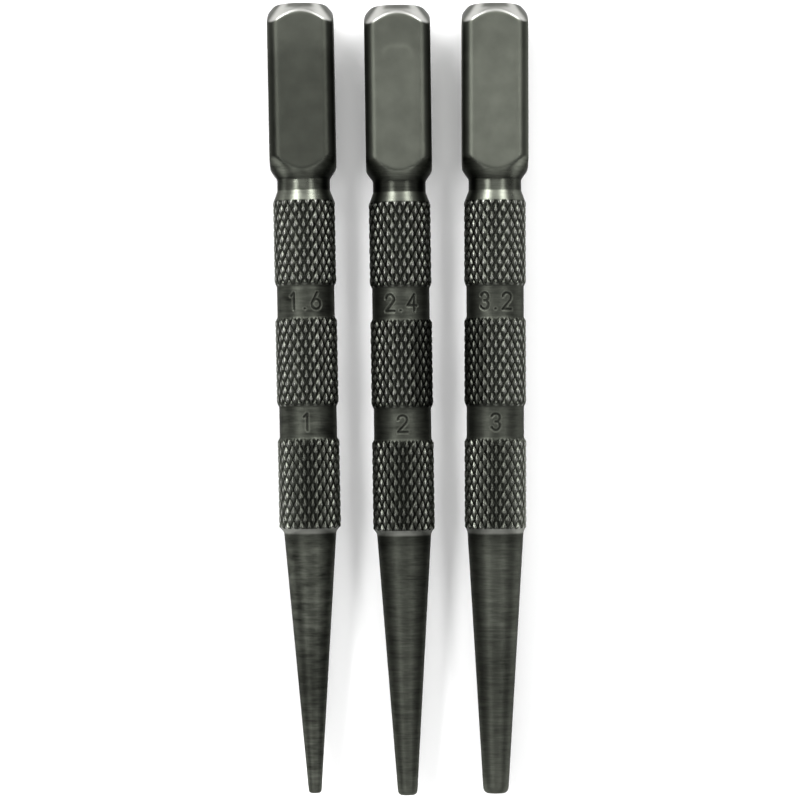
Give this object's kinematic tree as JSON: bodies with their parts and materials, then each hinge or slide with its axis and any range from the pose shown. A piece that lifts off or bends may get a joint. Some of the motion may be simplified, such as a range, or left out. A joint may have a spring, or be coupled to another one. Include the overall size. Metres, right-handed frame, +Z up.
{
  "type": "nail setter set",
  "caption": "Blackened steel nail setters lying side by side, each with a square striking head, a knurled round grip and a tapered shank with a cupped tip, for sinking nail heads.",
  "frame": {"origin": "under the middle of the set's box, on the surface that the tools lie on", "axes": "+Z up from the surface, +Y along the tools from the tips to the striking heads, +X across the set from the small tool to the large one"},
  "size_m": [0.0336, 0.102, 0.0085],
  "materials": {
    "small_blackened_steel": "blackened satin steel, worn brighter on edges",
    "medium_blackened_steel": "blackened satin steel, worn brighter on edges",
    "large_blackened_steel": "blackened satin steel, worn brighter on edges"
  },
  "bodies": {
    "medium_tool": {"medium_nail_setter": "medium_blackened_steel"},
    "small_tool": {"small_nail_setter": "small_blackened_steel"},
    "large_tool": {"large_nail_setter": "large_blackened_steel"}
  },
  "joints": [
    {"name": "small_tool_lift", "type": "slide", "parent": "medium_tool", "child": "small_tool", "axis": [0, 0, 1], "range_m": [0, 0.05]},
    {"name": "large_tool_lift", "type": "slide", "parent": "medium_tool", "child": "large_tool", "axis": [0, 0, 1], "range_m": [0, 0.05]}
  ]
}
